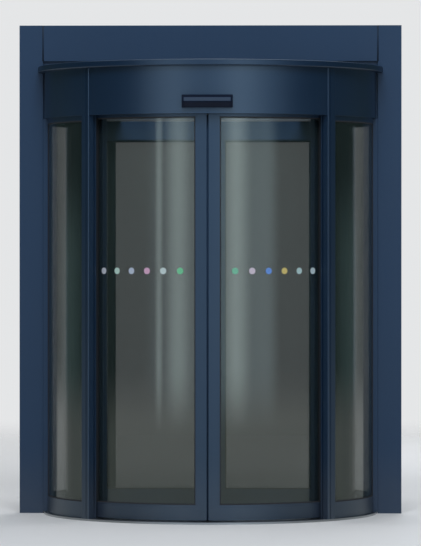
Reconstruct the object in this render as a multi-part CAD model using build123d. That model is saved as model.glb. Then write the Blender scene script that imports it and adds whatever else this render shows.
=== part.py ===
"""Four-wing revolving door in a portal, with two curved sliding leaves that close its front.

Units are millimetres. The drum's axis is Z, the front looks along -Y, and Z = 0 is the floor.
Angles called bearing are measured from the front (-Y) towards the right (+X).
"""

import os
from math import asin, degrees

from build123d import *

# Drum and canopy
drum_radius = 1018.0
fascia_sheet = 4.0
canopy_bottom = 2420.0
canopy_height = 318.0
roof_sheet = 4.0
cornice_drop = 36.0
cornice_overhang = 42.0
cornice_sheet = 4.0
cornice_round = 6.0
rosette_radius = 70.0
rosette_drop = 6.0
soffit_sheet = 4.0
ceiling_sheet = 4.0

# Portal
head_face = 220.0
portal_depth = 110.0
jamb_face = 145.0
portal_gap = 9.5
profile_wall = 3.0
head_recess = 25.0
head_shadow_gap = 37.0

# Opening posts and outer side glass
opening_half_angle = 46.0
post_face = 65.0
post_radial = 64.0
post_proud = 6.0
glass_thickness = 10.0
side_frame_radial = 24.0
column_radial = 40.0
column_proud = 10.0
rail_top_height = 30.0
rail_bottom_height = 98.0
rebate = 10.0
post_round = 4.0
shadow_groove = 5.0
groove_depth = 3.0
brush_slot = 8.0

# Sliding leaves
running_gap = 6.0
leaf_depth = 40.0
lead_stile_face = 66.0
tail_stile_face = 40.0
leaf_overlap_angle = 2.0
leaf_top_height = 16.0
leaf_top_hidden = 24.0
leaf_bottom_height = 90.0
floor_gap = 8.0
meeting_gap = 10.0
gasket_out = 2.0
bead_width = 8.0
bead_depth = 4.0
edge_round = 3.0

# Leaf track
track_wall = 4.0
track_height = 90.0
ledge_height = 36.0
ledge_width = 12.0
roller_radius = 14.0
roller_width = 12.0
seat_gap = 0.3
carriage_length = 70.0
carriage_neck = 8.0

# Inner curved walls
inner_frame_radial = 32.0
inner_post_face = 45.0

# Floor
pan_sheet = 3.0
floor_height = 12.0
mat_gap = 0.3
mat_rib = 22.0
mat_groove = 5.0
mat_groove_depth = 4.0

# Rotor
shaft_radius = 45.0
spigot_radius = 30.0
shaft_fit = 0.05
wing_thickness = 40.0
wing_stile = 45.0
wing_top_height = 120.0
wing_bottom_height = 120.0
wing_glass_thickness = 8.0
brush_length = 20.0
brush_thickness = 8.0
rotor_gap = 6.0
ceiling_gap = 14.0
bearing_radius = 60.0
drive_radius = 110.0
drive_height = 110.0
beam_width = 50.0
beam_height = 80.0

# Motion sensors
sensor_width = 300.0
sensor_height = 74.0
sensor_depth = 48.0
sensor_lift = 34.0

# Sizes that follow from the values above
canopy_top = canopy_bottom + canopy_height
portal_height = canopy_top + head_shadow_gap + head_face
fascia_top = canopy_top - roof_sheet
fascia_inner = drum_radius - fascia_sheet
cornice_bottom = canopy_top - cornice_drop
portal_clear_half = drum_radius + portal_gap
portal_half = portal_clear_half + jamb_face
half_depth = portal_depth / 2
post_outer = drum_radius + post_proud
post_inner = post_outer - post_radial
side_glass_mid = (drum_radius + post_inner) / 2
leaf_outer = post_inner - track_wall - running_gap
leaf_inner = leaf_outer - leaf_depth
leaf_mid = (leaf_outer + leaf_inner) / 2
track_outer = post_inner
track_inner = leaf_inner - running_gap - track_wall
inner_frame_outer = track_inner
inner_frame_inner = inner_frame_outer - inner_frame_radial
inner_glass_mid = (inner_frame_outer + inner_frame_inner) / 2
pan_rim_inner = inner_frame_inner - 2 * rotor_gap
rotor_tip = inner_frame_inner - rotor_gap
wing_reach = rotor_tip - brush_length
wing_bottom = floor_height + brush_length - rotor_gap
wing_top = canopy_bottom - ceiling_gap


def place(bearing):
    """Turn a piece drawn along +X so that it points along a bearing."""
    return Rot(0, 0, bearing - 90)


def sweep_ring(profile, start, end):
    """Revolve an XZ profile about the drum's axis between two bearings."""
    full = end - start >= 360
    return place(start) * revolve(profile, Axis.Z, 360 if full else end - start)


def block_profile(r_in, r_out, low, high):
    """Rectangle in the XZ plane between two radii and two heights."""
    return Plane.XZ * Pos((r_in + r_out) / 2, (low + high) / 2) * Rectangle(r_out - r_in, high - low)


def ring_block(r_in, r_out, low, high, start=0, end=360):
    """Part of a ring between two bearings."""
    return sweep_ring(block_profile(r_in, r_out, low, high), start, end)


def disc(radius, low, high):
    """Cylinder on the drum's axis between two heights."""
    return Pos(0, 0, (low + high) / 2) * Cylinder(radius, high - low)


def radial_bar(r_in, r_out, face, low, high, bearing):
    """Bar with flat sides, between two radii, centred on a bearing."""
    size = Box(r_out - r_in, face, high - low)
    return place(bearing) * Pos((r_in + r_out) / 2, 0, (low + high) / 2) * size


def curved_bar(r_in, r_out, face, low, high, bearing):
    """Bar with flat sides whose inner and outer faces follow the drum."""
    span = degrees(asin(face / r_in))
    ring = ring_block(r_in, r_out, low, high, bearing - span, bearing + span)
    return ring & radial_bar(r_in - face, r_out + face, face, low - 1, high + 1, bearing)


def half_angle(face, radius):
    """Bearing covered by half of a bar's face at a radius."""
    return degrees(asin(face / 2 / radius))


def box_between(x0, x1, y0, y1, z0, z1):
    """Box from its two corners."""
    return Pos((x0 + x1) / 2, (y0 + y1) / 2, (z0 + z1) / 2) * Box(x1 - x0, y1 - y0, z1 - z0)


def soften(shape, axis, size):
    """Round the edges of a shape that run along one axis."""
    return fillet(shape.edges().filter_by(axis), size)


def hollow_bar(x0, x1, y0, y1, z0, z1, axis):
    """Rectangular tube with softened long edges, open along its axis but capped at an upright's top."""
    outer = soften(box_between(x0, x1, y0, y1, z0, z1), axis, profile_wall / 2)
    w = profile_wall
    if axis == Axis.Z:
        return outer - box_between(x0 + w, x1 - w, y0 + w, y1 - w, z0, z1 - w)
    return outer - box_between(x0, x1, y0 + w, y1 - w, z0 + w, z1 - w)


def make_portal():
    """Two jambs and the head between them."""
    tall = (-half_depth, half_depth, 0, portal_height)
    head_low = canopy_top + head_shadow_gap
    inset = half_depth - head_recess
    head = hollow_bar(-portal_clear_half, portal_clear_half, -half_depth, half_depth,
                      head_low, portal_height, Axis.X)
    head += box_between(-portal_clear_half, portal_clear_half, -inset, inset, canopy_top, head_low)
    return {
        "portal_jamb_left": hollow_bar(-portal_half, -portal_clear_half, *tall, Axis.Z),
        "portal_jamb_right": hollow_bar(portal_clear_half, portal_half, *tall, Axis.Z),
        "portal_head": head,
    }


def make_canopy():
    """Fascia panels, cornice, roof, ceiling, leaf track and the beams that carry the drive."""
    parts = {}
    corner = opening_half_angle
    skin = Plane.XZ * Polyline(
        (drum_radius, canopy_bottom), (drum_radius, fascia_top), (fascia_inner, fascia_top),
        (fascia_inner, canopy_bottom + soffit_sheet), (post_inner, canopy_bottom + soffit_sheet),
        (post_inner, canopy_bottom), close=True)
    skin = make_face(skin)
    slots = [radial_bar(post_inner - 1, post_outer + 1, post_face, canopy_bottom - 1, canopy_top, b)
             for b in (corner, 180 - corner, 180 + corner, -corner)]
    for name, mid, reach in (("front", 0, corner), ("right", 90, 90 - corner),
                             ("back", 180, corner), ("left", -90, 90 - corner)):
        panel = sweep_ring(skin, mid - reach, mid + reach)
        parts[f"fascia_{name}"] = panel - Compound(slots)
    outer = drum_radius + cornice_overhang
    lip = make_face(Plane.XZ * Polyline(
        (drum_radius, cornice_bottom), (outer, cornice_bottom), (outer, canopy_top),
        (drum_radius, canopy_top), (drum_radius, canopy_top - cornice_sheet),
        (outer - cornice_sheet, canopy_top - cornice_sheet),
        (outer - cornice_sheet, cornice_bottom + cornice_sheet),
        (drum_radius, cornice_bottom + cornice_sheet), close=True))
    lip = fillet(lip.vertices().group_by(Axis.X)[-1], cornice_round)
    ring = sweep_ring(lip, 0, 360)
    ring -= box_between(-outer - 1, outer + 1, -half_depth, half_depth,
                        cornice_bottom - 1, canopy_top + 1)
    parts["cornice"] = ring
    parts["roof_cover"] = disc(drum_radius, fascia_top, canopy_top)
    ceiling = disc(track_inner, canopy_bottom, canopy_bottom + ceiling_sheet)
    ceiling += disc(rosette_radius, canopy_bottom - rosette_drop, canopy_bottom)
    parts["ceiling"] = ceiling - disc(spigot_radius + rotor_gap, 0, canopy_top)
    parts["leaf_track"] = sweep_ring(track_profile(), 0, 360)
    top = canopy_bottom + ceiling_sheet
    side = drive_radius + beam_width / 2
    reach = (track_inner ** 2 - (side + beam_width / 2) ** 2) ** 0.5
    beams = []
    for y in (-side, side):
        span = (-reach, reach, y - beam_width / 2, y + beam_width / 2, top, top + beam_height)
        beams.append(hollow_bar(*span, Axis.X))
    parts["canopy_beams"] = Compound(beams)
    drive = disc(drive_radius, top, top + drive_height)
    drive = fillet(drive.edges().filter_by(GeomType.CIRCLE).sort_by(Axis.Z)[-1], 8)
    parts["drive_unit"] = drive - disc(spigot_radius + shaft_fit, top - 1, top + drive_height / 2)
    return parts


def track_profile():
    """Channel with two ledges that the leaf rollers run on."""
    low, high = canopy_bottom, canopy_bottom + track_height
    ledge = canopy_bottom + ledge_height
    a, b = track_inner, track_outer
    shape = block_profile(a, b, low, high)
    shape -= block_profile(a + track_wall, b - track_wall, low - 1, ledge)
    slot_in, slot_out = a + track_wall + ledge_width, b - track_wall - ledge_width
    shape -= block_profile(slot_in, slot_out, ledge - 1, ledge + track_wall + 1)
    return shape - block_profile(a + track_wall, b - track_wall, ledge + track_wall, high - track_wall)


def post_blank(bearing, opening_side):
    """Post profile with a shadow groove outside and a brush slot beside the opening."""
    low = floor_height
    post = curved_bar(post_inner, post_outer, post_face, low, cornice_bottom, bearing)
    post = soften(post, Axis.Z, post_round)
    side = opening_side * post_face / 2
    groove = Pos(post_outer - groove_depth / 2 + 1, side / 3, canopy_top / 2) * Box(
        groove_depth + 2, shadow_groove, canopy_top)
    slot = Pos(post_inner + post_radial * 0.3, side, canopy_top / 2) * Box(
        brush_slot, 2 * brush_slot, canopy_top)
    return post - place(bearing) * (groove + slot)


def make_walls():
    """Posts, portal columns with their closing strips, outer side glass and inner curved walls."""
    parts = {}
    low, high = floor_height, canopy_bottom
    column_y = half_depth + column_proud
    column_x = drum_radius - column_radial
    columns = []
    for side, sign in (("left", -1), ("right", 1)):
        bearings = (sign * opening_half_angle, sign * (180 - opening_half_angle))
        xs = sorted((sign * column_x, sign * portal_clear_half))
        column = soften(box_between(*xs, -column_y, column_y, low, high), Axis.Z, edge_round)
        closer_x = sorted((sign * (drum_radius + seat_gap), sign * portal_clear_half))
        closer_y = half_depth - head_recess
        column += box_between(*closer_x, -closer_y, closer_y, high, fascia_top)
        inset = sorted((sign * (column_x - 1), sign * portal_clear_half))
        core = box_between(*inset, rebate - column_y, column_y - rebate, 0, portal_height)
        rail_stops, pane_stops = column, core
        for bearing in bearings:
            rail_stops += radial_bar(post_inner - 1, post_outer + 1, post_face, 0, canopy_top, bearing)
            pane_stops += radial_bar(post_inner - 1, post_outer + 1, post_face - 2 * rebate, 0,
                                     canopy_top, bearing)
        rails, panes = [], []
        for quarter in (sorted((bearings[0], sign * 90)), sorted((sign * 90, bearings[1]))):
            rails += make_side_rails(*quarter, rail_stops)
            panes.append(make_side_pane(*quarter, pane_stops))
        pane_set = Compound(panes)
        parts[f"side_rails_{side}"] = Compound([rail - pane_set for rail in rails])
        parts[f"side_glass_{side}"] = pane_set
        columns.append(column - pane_set)
        for row, bearing, facing in (("front", bearings[0], -sign), ("back", bearings[1], sign)):
            parts[f"post_{row}_{side}"] = post_blank(bearing, facing) - pane_set
        parts.update(make_inner_wall(side, sign))
    parts["portal_columns"] = Compound(columns)
    return parts


def make_side_rails(start, end, stops):
    """Bottom and top rail of one outer side pane, cut to length between its stops."""
    low, high = floor_height, canopy_bottom
    frame_in = side_glass_mid - side_frame_radial / 2
    frame_out = side_glass_mid + side_frame_radial / 2
    heights = ((low, low + rail_bottom_height), (high - rail_top_height, high))
    return [ring_block(frame_in, frame_out, z0, z1, start, end) - stops for z0, z1 in heights]


def make_side_pane(start, end, stops):
    """One sheet of curved glass that reaches into the rails, the post and the column."""
    low = floor_height + rail_bottom_height - rebate
    high = canopy_bottom - rail_top_height + rebate
    pane = ring_block(side_glass_mid - glass_thickness / 2, side_glass_mid + glass_thickness / 2,
                      low, high, start, end)
    return pane - stops


def make_inner_wall(side, sign):
    """One inner curved wall: a frame of two end posts and two rails round a sheet of glass."""
    low, high = floor_height, canopy_bottom
    mid = sign * 90
    reach = 90 - opening_half_angle
    post_half = half_angle(inner_post_face, inner_frame_outer)
    frame = ring_block(inner_frame_inner, inner_frame_outer, low, high, mid - reach - post_half,
                       mid + reach + post_half)
    inside = ring_block(inner_frame_inner - 1, inner_frame_outer + 1, low + rail_bottom_height,
                        high - rail_top_height, mid - reach + post_half, mid + reach - post_half)
    edge = degrees(rebate / inner_glass_mid)
    glass = ring_block(inner_glass_mid - glass_thickness / 2, inner_glass_mid + glass_thickness / 2,
                       low + rail_bottom_height - rebate, high - rail_top_height + rebate,
                       mid - reach + post_half - edge, mid + reach - post_half + edge)
    frame = soften(frame, Axis.Z, edge_round) - inside - glass
    bead = degrees(bead_width / inner_glass_mid)
    for r_in, r_out in ((inner_frame_inner - 1, inner_frame_inner + bead_depth),
                        (inner_frame_outer - bead_depth, inner_frame_outer + 1)):
        frame -= ring_block(r_in, r_out, low + rail_bottom_height - bead_width,
                            high - rail_top_height + bead_width,
                            mid - reach + post_half - bead, mid + reach - post_half + bead)
    return {f"inner_wall_frame_{side}": frame, f"inner_wall_glass_{side}": glass}


def make_floor():
    """Floor pan with a raised rim, its entrance mat and the rotor's floor bearing."""
    rim = disc(post_outer, 0, floor_height) - disc(pan_rim_inner, pan_sheet, floor_height + 1)
    mat = disc(pan_rim_inner - mat_gap, pan_sheet, floor_height) - disc(
        bearing_radius + mat_gap, pan_sheet - 1, floor_height + 1)
    pitch = mat_rib + mat_groove
    rows = int(pan_rim_inner / pitch)
    strips = [spot * Rectangle(2 * post_outer, mat_groove) for spot in GridLocations(0, pitch, 1, 2 * rows)]
    grooves = Pos(0, 0, floor_height - mat_groove_depth) * extrude(Sketch() + strips, mat_groove_depth + 1)
    rim_band = disc(pan_rim_inner - mat_rib, 0, portal_height)
    bearing = disc(bearing_radius, pan_sheet, floor_height)
    bearing = chamfer(bearing.edges().filter_by(GeomType.CIRCLE).sort_by(Axis.Z)[-1], 2)
    hub_band = disc(bearing_radius + mat_rib, 0, portal_height)
    return {"floor_pan": rim, "entrance_mat": mat - (grooves & (rim_band - hub_band)),
            "floor_bearing": bearing}


def make_sensor(bearing):
    """Motion sensor housing with a sloping window, shaped to the fascia behind it."""
    depth, half_h, half_w = sensor_depth, sensor_height / 2, sensor_width / 2
    reach = drum_radius + depth
    chord = (drum_radius ** 2 - half_w ** 2) ** 0.5
    side = Polyline((chord - 1, -half_h), (reach - depth * 0.45, -half_h), (reach, -half_h * 0.1),
                    (reach, half_h * 0.7), (reach - depth * 0.2, half_h), (chord - 1, half_h),
                    close=True)
    body = extrude(make_face(Plane.XZ * side), half_w, both=True)
    body = fillet(body.edges().filter_by(GeomType.LINE).group_by(Axis.X)[-1], 4)
    body -= Cylinder(drum_radius, sensor_height * 2)
    return place(bearing) * Pos(0, 0, canopy_bottom + sensor_lift + half_h) * body


def make_leaf(side, sign):
    """One curved sliding leaf: framed glass, meeting gasket and two roller carriages."""
    low = floor_height + floor_gap
    high = canopy_bottom + leaf_top_hidden
    rail_low = canopy_bottom - leaf_top_height
    start = degrees(meeting_gap / 2 / leaf_mid)
    lead = degrees(lead_stile_face / leaf_mid)
    tail = degrees(tail_stile_face / leaf_mid)
    end = opening_half_angle + leaf_overlap_angle
    edge = degrees(rebate / leaf_mid)

    def piece(r_in, r_out, z0, z1, a, b):
        a, b = sorted((sign * a, sign * b))
        return ring_block(r_in, r_out, z0, z1, a, b)

    frame = soften(piece(leaf_inner, leaf_outer, low, high, start, end), Axis.Z, edge_round)
    frame -= piece(leaf_inner - 1, leaf_outer + 1, low + leaf_bottom_height, rail_low,
                   start + lead, end - tail)
    bead = degrees(bead_width / leaf_mid)
    for r_in, r_out in ((leaf_inner - 1, leaf_inner + bead_depth),
                        (leaf_outer - bead_depth, leaf_outer + 1)):
        frame -= piece(r_in, r_out, low + leaf_bottom_height - bead_width, rail_low + bead_width,
                       start + lead - bead, end - tail + bead)
    glass = piece(leaf_mid - glass_thickness / 2, leaf_mid + glass_thickness / 2,
                  low + leaf_bottom_height - rebate, rail_low + rebate,
                  start + lead - edge, end - tail + edge)
    frame -= glass
    out = degrees(gasket_out / leaf_mid)
    gasket = piece(leaf_mid - 8, leaf_mid + 8, low, canopy_bottom - 2, start - out, start)
    carriages = [make_carriage(sign * (start + (end - start) * share), high) for share in (0.15, 0.85)]
    return {
        f"leaf_frame_{side}": frame,
        f"leaf_glass_{side}": glass,
        f"leaf_gasket_{side}": gasket,
        f"leaf_carriages_{side}": Compound(carriages),
    }


def make_carriage(bearing, base):
    """Roller carriage: a neck through the track's slot with two rollers on each side."""
    ledge_top = canopy_bottom + ledge_height + track_wall
    axle = ledge_top + seat_gap + roller_radius
    body = radial_bar(leaf_mid - carriage_neck / 2, leaf_mid + carriage_neck / 2, carriage_length,
                      base, axle + roller_radius / 2, bearing)
    for shift in (-carriage_length / 2 + roller_radius, carriage_length / 2 - roller_radius):
        length = carriage_neck + 2 * roller_width
        wheel = Pos(leaf_mid, shift, axle) * Rot(0, 90, 0) * Cylinder(roller_radius, length)
        body += place(bearing) * wheel
    return body


def make_rotor():
    """Centre shaft and four wings, each a frame with glass and brush seals."""
    shaft = disc(shaft_radius, floor_height + seat_gap, wing_top)
    spigot_top = canopy_bottom + ceiling_sheet + drive_height / 2 - seat_gap
    shaft += disc(spigot_radius, wing_top, spigot_top)
    parts = {"rotor_shaft": shaft}
    panes, brushes = [], []
    clear = disc(shaft_radius, 0, portal_height)
    for number in range(4):
        bearing = 90 * number
        frame, pane = make_wing(bearing)
        parts[f"wing_frame_{number + 1}"] = frame - clear
        panes.append(pane)
        brushes.append(make_brush(bearing))
    parts["wing_glass"] = Compound(panes)
    parts["wing_brushes"] = Compound(brushes)
    return parts


def make_wing(bearing):
    """One wing's frame and its pane."""
    inner = shaft_radius - 2
    frame = radial_bar(inner, wing_reach, wing_thickness, wing_bottom, wing_top, bearing)
    frame = soften(frame, Axis.Z, edge_round)
    open_in, open_out = shaft_radius + wing_stile, wing_reach - wing_stile
    open_low, open_high = wing_bottom + wing_bottom_height, wing_top - wing_top_height
    frame -= radial_bar(open_in, open_out, wing_thickness + 2, open_low, open_high, bearing)
    web = radial_bar(0, wing_reach, wing_thickness - 2 * bead_depth, 0, portal_height, bearing)
    frame -= radial_bar(open_in - bead_width, open_out + bead_width, wing_thickness + 2,
                        open_low - bead_width, open_high + bead_width, bearing) - web
    pane = radial_bar(open_in - rebate, open_out + rebate, wing_glass_thickness,
                      open_low - rebate, open_high + rebate, bearing)
    return frame - pane, pane


def make_brush(bearing):
    """Brush strip round a wing's outer, top and bottom edges."""
    low, high = floor_height + rotor_gap, canopy_bottom - rotor_gap
    strip = radial_bar(shaft_radius + wing_stile, rotor_tip, brush_thickness, low, high, bearing)
    return strip - radial_bar(0, wing_reach, brush_thickness + 2, wing_bottom, wing_top, bearing)


def main():
    """Build every piece and write one STEP file for each."""
    parts = {}
    parts.update(make_portal())
    parts.update(make_canopy())
    parts.update(make_walls())
    parts.update(make_floor())
    parts.update(make_leaf("left", -1))
    parts.update(make_leaf("right", 1))
    parts.update(make_rotor())
    parts["motion_sensors"] = Compound([make_sensor(0), make_sensor(180)])
    os.makedirs("parts", exist_ok=True)
    for name, shape in parts.items():
        export_step(shape, f"parts/{name}.step")


main()
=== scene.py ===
"""Looks of a four-wing revolving door that stands in a dark portal.

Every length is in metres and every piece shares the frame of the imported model: Z up, the drum's
axis on Z, and the front of the door towards -Y. A bearing is an angle in degrees round the drum,
measured from the front towards the right.
"""

import logging
import math
from dataclasses import dataclass
from enum import Enum
from functools import cache
from typing import Any, Callable

import bmesh
import bpy
from bpy.types import ID, Material, Node, NodeSocket, NodeTree, Object
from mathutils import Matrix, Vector

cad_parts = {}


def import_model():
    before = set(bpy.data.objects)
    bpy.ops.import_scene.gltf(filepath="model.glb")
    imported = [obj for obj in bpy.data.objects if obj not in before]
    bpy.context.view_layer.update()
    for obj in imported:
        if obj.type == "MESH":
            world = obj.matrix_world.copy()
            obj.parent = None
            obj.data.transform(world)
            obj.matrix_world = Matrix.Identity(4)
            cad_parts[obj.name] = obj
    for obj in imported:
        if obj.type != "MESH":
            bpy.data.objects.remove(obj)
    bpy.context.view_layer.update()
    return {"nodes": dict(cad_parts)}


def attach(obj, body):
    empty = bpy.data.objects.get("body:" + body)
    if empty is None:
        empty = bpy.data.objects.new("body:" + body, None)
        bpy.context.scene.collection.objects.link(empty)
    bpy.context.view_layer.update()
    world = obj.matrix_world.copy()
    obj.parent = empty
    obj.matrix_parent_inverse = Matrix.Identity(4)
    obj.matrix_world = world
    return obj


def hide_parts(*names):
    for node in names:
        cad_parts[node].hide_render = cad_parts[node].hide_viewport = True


LOG = logging.getLogger("revolving_door")

Pair = tuple[float, float]
Triple = tuple[float, float, float]
Shape = tuple[list[Vector], list[tuple[int, ...]]]
Spot = Callable[[float, float, float], Vector]

SIDES = (("left", -1), ("right", 1))
WING_BEARINGS = (0.0, 90.0, 180.0, 270.0)
DOT_STEP = 6.35
DRUM_BLUE: Triple = (0.0019, 0.0108, 0.0300)
DRUM_SHEEN: Triple = (0.70, 0.88, 1.0)
SENSOR_BLACK: Triple = (0.0012, 0.0040, 0.0125)
SENSOR_GLOSS = 0.12


def operator(operation: str, swapped: bool = False) -> Callable[..., "Wire"]:
    """Make an operator that adds one Math node.

    Args:
        operation: The node's operation.
        swapped: True where the wire is its second value.

    Returns:
        The operator's method.
    """
    def method(self: "Wire", other: Any = 0.0) -> "Wire":
        """Combine the wire with another value."""
        return self.bench.math(operation, *((other, self) if swapped else (self, other)))
    return method


class Wire:
    """A number socket of a node tree that Python operators can combine."""

    def __init__(self, bench: "Bench", socket: NodeSocket) -> None:
        """Keep the socket and the bench whose tree it lives in."""
        self.bench = bench
        self.socket = socket

    __add__ = __radd__ = operator("ADD")
    __sub__ = operator("SUBTRACT")
    __rsub__ = operator("SUBTRACT", swapped=True)
    __mul__ = __rmul__ = operator("MULTIPLY")
    __truediv__ = operator("DIVIDE")
    __pow__ = operator("POWER")
    __abs__ = operator("ABSOLUTE")

    def band(self, low: float, high: float) -> "Wire":
        """Ease from 0 at low to 1 at high."""
        return self.bench.wire("ShaderNodeMapRange", {0: self, 1: low, 2: high, 3: 0.0, 4: 1.0},
                               interpolation_type="SMOOTHSTEP")


class Bench:
    """A node tree under construction, for a material or for Geometry Nodes."""

    def __init__(self, tree: NodeTree) -> None:
        """Take over an empty tree."""
        self.tree = tree

    def node(self, kind: str, inputs: dict | None = None, **settings: Any) -> Node:
        """Add a node, set its options first and then its inputs.

        Args:
            kind: The node's type name.
            inputs: Values or links, by input name or number.
            **settings: Attributes of the node.

        Returns:
            The new node.
        """
        made = self.tree.nodes.new(kind)
        for key, value in settings.items():
            setattr(made, key, value)
        for key, value in (inputs or {}).items():
            self.feed(made.inputs[key], value)
        return made

    def feed(self, socket: NodeSocket, value: Any) -> None:
        """Link or set an input.

        Args:
            socket: The input.
            value: A wire, a socket, a node whose first output counts, or a plain value.
        """
        if isinstance(value, Wire):
            value = value.socket
        if isinstance(value, Node):
            value = value.outputs[0]
        if isinstance(value, NodeSocket):
            self.tree.links.new(value, socket)
        elif isinstance(value, tuple) and socket.type == "RGBA" and len(value) == 3:
            socket.default_value = (*value, 1.0)
        else:
            socket.default_value = value

    def wire(self, kind: str, inputs: dict | None = None, **settings: Any) -> Wire:
        """Add a node and return its first output as a number."""
        return Wire(self, self.node(kind, inputs, **settings).outputs[0])

    def math(self, operation: str, first: Any, second: Any = 0.0) -> Wire:
        """Add a Math node and return its result."""
        return self.wire("ShaderNodeMath", {0: first, 1: second}, operation=operation)

    def vector(self, x: Any = 0.0, y: Any = 0.0, z: Any = 0.0) -> Node:
        """Three numbers as one vector."""
        return self.node("ShaderNodeCombineXYZ", {0: x, 1: y, 2: z})


class Paint(Bench):
    """The node tree of one material."""

    def __init__(self, name: str) -> None:
        """Start an empty material.

        Args:
            name: The material's name.
        """
        self.material = bpy.data.materials.new(name)
        self.material.use_nodes = True
        super().__init__(self.material.node_tree)
        self.tree.nodes.clear()
        self.coords = self.node("ShaderNodeTexCoord").outputs["Object"]
        parts = self.node("ShaderNodeSeparateXYZ", {0: self.coords})
        self.x, self.y, self.z = (Wire(self, socket) for socket in parts.outputs)

    def noise(self, scale: float, detail: float, stretch: Triple = (1.0, 1.0, 1.0)) -> Wire:
        """Noise from 0 to 1 with scale cells in a metre, shorter where stretch is above 1."""
        placed = self.node("ShaderNodeMapping", {"Vector": self.coords, "Scale": stretch})
        return self.wire("ShaderNodeTexNoise", {"Vector": placed, "Scale": scale, "Detail": detail})

    def bearing(self) -> Wire:
        """Angle round the drum's axis in radians, from the front towards the right."""
        return self.math("ARCTAN2", self.x, 0.0 - self.y)

    def radius(self) -> Wire:
        """Distance from the drum's axis."""
        return self.math("SQRT", self.x * self.x + self.y * self.y)

    def mix(self, share: Any, first: Any, second: Any) -> NodeSocket:
        """Blend two colours; a share of 1 is the second one alone."""
        made = self.node("ShaderNodeMix", {0: share, 6: first, 7: second}, data_type="RGBA")
        return made.outputs[2]

    def shade(self, share: Any, colour: Triple, factor: float) -> NodeSocket:
        """Blend a colour with a lighter or darker form of itself."""
        return self.mix(share, colour, scaled(colour, factor))

    def bump(self, height: Wire, distance: float) -> Node:
        """Turn a height into a surface normal."""
        return self.node("ShaderNodeBump", {"Height": height, "Distance": distance})

    def surface(self, **inputs: Any) -> Material:
        """Close the material with a Principled shader; underscores stand for spaces."""
        named = {key.replace("_", " "): value for key, value in inputs.items()}
        return self.close(self.node("ShaderNodeBsdfPrincipled", named))

    def close(self, shader: Node) -> Material:
        """Close the material with a shader and return it."""
        self.node("ShaderNodeOutputMaterial", {"Surface": shader})
        return self.material


class Jig(Bench):
    """A Geometry Nodes tree with named sizes, which makes pieces that repeat."""

    def __init__(self, name: str, sizes: dict[str, float | int]) -> None:
        """Start a tree.

        Args:
            name: The tree's name.
            sizes: Its inputs, each with the value that the piece takes.
        """
        super().__init__(bpy.data.node_groups.new(name, "GeometryNodeTree"))
        self.sizes = sizes
        self.sockets = {}
        interface = self.tree.interface
        interface.new_socket("Geometry", in_out="OUTPUT", socket_type="NodeSocketGeometry")
        for key, value in sizes.items():
            kind = "NodeSocketInt" if isinstance(value, int) else "NodeSocketFloat"
            self.sockets[key] = interface.new_socket(key, in_out="INPUT", socket_type=kind)
        self.source = self.node("NodeGroupInput")

    def size(self, name: str) -> Wire:
        """One of the tree's named sizes."""
        return Wire(self, self.source.outputs[name])

    def join(self, parts: list) -> Node:
        """Join several geometries.

        Args:
            parts: Nodes or sockets to join.

        Returns:
            The joining node.
        """
        made = self.node("GeometryNodeJoinGeometry")
        for part in parts:
            self.feed(made.inputs[0], part)
        return made

    def arc(self, start: float, sweep: float) -> Node:
        """Points along an arc round the drum, with the sizes Count, Arc Radius and Height.

        Args:
            start: Bearing of the first point, in degrees.
            sweep: Degrees from the first point to the last.

        Returns:
            A node whose output is the arc.
        """
        arc = self.node("GeometryNodeCurveArc", {
            "Resolution": self.size("Count"), "Radius": self.size("Arc Radius"),
            "Start Angle": math.radians(start - 90), "Sweep Angle": math.radians(sweep)})
        return self.node("GeometryNodeSetPosition", {
            "Geometry": arc, "Offset": self.vector(z=self.size("Height"))})

    def outward(self) -> Node:
        """Turn a piece's Z axis away from the drum's axis.

        Returns:
            The rotation's node.
        """
        place = self.node("GeometryNodeInputPosition")
        flat = self.node("ShaderNodeVectorMath", {0: place, 1: (1.0, 1.0, 0.0)},
                         operation="MULTIPLY")
        return self.node("FunctionNodeAlignRotationToVector", {"Vector": flat}, axis="Z")

    def copies(self, points: Any, shape: Any, **inputs: Any) -> Node:
        """Put a copy of a shape on every point."""
        return self.node("GeometryNodeInstanceOnPoints",
                         {"Points": points, "Instance": shape, **inputs})

    def make(self, name: str, geometry: Any, finish: "Finish") -> Object:
        """Close the tree, give it its sizes and turn its result into a plain mesh.

        Args:
            name: The piece's name.
            geometry: The tree's last geometry.
            finish: The piece's finish.

        Returns:
            The piece, with no modifier left on it.
        """
        real = self.node("GeometryNodeRealizeInstances", {0: geometry})
        painted = self.node("GeometryNodeSetMaterial",
                            {"Geometry": real, "Material": finish.material()})
        self.node("NodeGroupOutput", {0: painted})
        piece = add_object(name, bpy.data.meshes.new(name + "_base"))
        modifier = piece.modifiers.new(name, "NODES")
        modifier.node_group = self.tree
        for key, value in self.sizes.items():
            modifier[self.sockets[key].identifier] = value
        graph = bpy.context.evaluated_depsgraph_get()
        mesh = bpy.data.meshes.new_from_object(piece.evaluated_get(graph))
        piece.modifiers.clear()
        mesh.name = name
        piece.data = mesh
        return piece


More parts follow.
